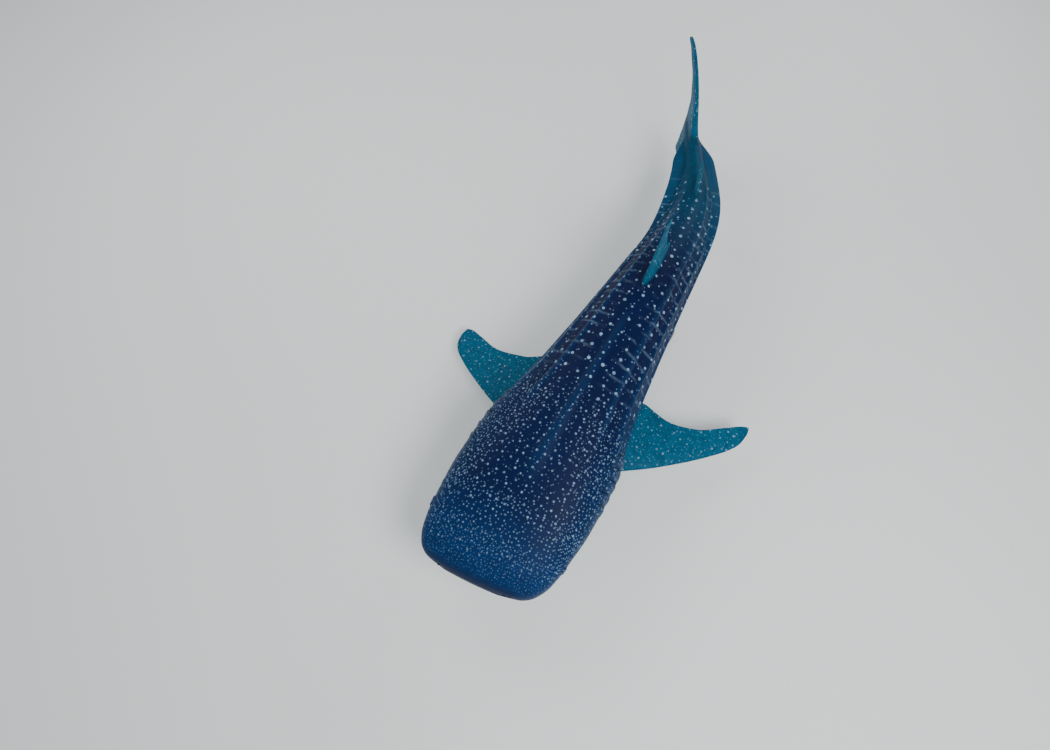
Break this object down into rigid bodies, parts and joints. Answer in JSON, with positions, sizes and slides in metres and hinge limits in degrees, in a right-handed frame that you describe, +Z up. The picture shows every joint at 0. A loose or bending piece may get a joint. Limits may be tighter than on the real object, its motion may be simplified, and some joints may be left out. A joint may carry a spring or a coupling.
{
  "type": "whale shark model",
  "caption": "Life-size whale shark with a broad flat head, ridged back and spotted blue skin, swimming with its tail swung to one side, held over a flat base by short rods.",
  "frame": {"origin": "middle of the underside of the stand's base, at floor level", "axes": "+Z up; the head points along -Y and the tail along +Y; the animal's left side is +X"},
  "size_m": [2.823, 5.3128, 1.624],
  "materials": {
    "skin": "dark blue-grey shark skin, satin, with pale spots and bars, pale underneath",
    "fin_skin": "blue-grey shark skin, satin, with small pale spots",
    "eye": "glossy dark eye",
    "stand_paint": "plain satin grey paint"
  },
  "bodies": {
    "root": {"head": "skin", "trunk": "skin", "tail": "skin", "pectoral_fin_left": "fin_skin", "pectoral_fin_right": "fin_skin", "pelvic_fin_left": "fin_skin", "pelvic_fin_right": "fin_skin", "first_dorsal_fin": "fin_skin", "second_dorsal_fin": "fin_skin", "anal_fin": "fin_skin", "tail_fin_upper_lobe": "fin_skin", "tail_fin_lower_lobe": "fin_skin", "eye_left": "eye", "eye_right": "eye", "stand_base": "stand_paint", "stand_rod_front": "stand_paint", "stand_rod_rear": "stand_paint"}
  },
  "joints": []
}
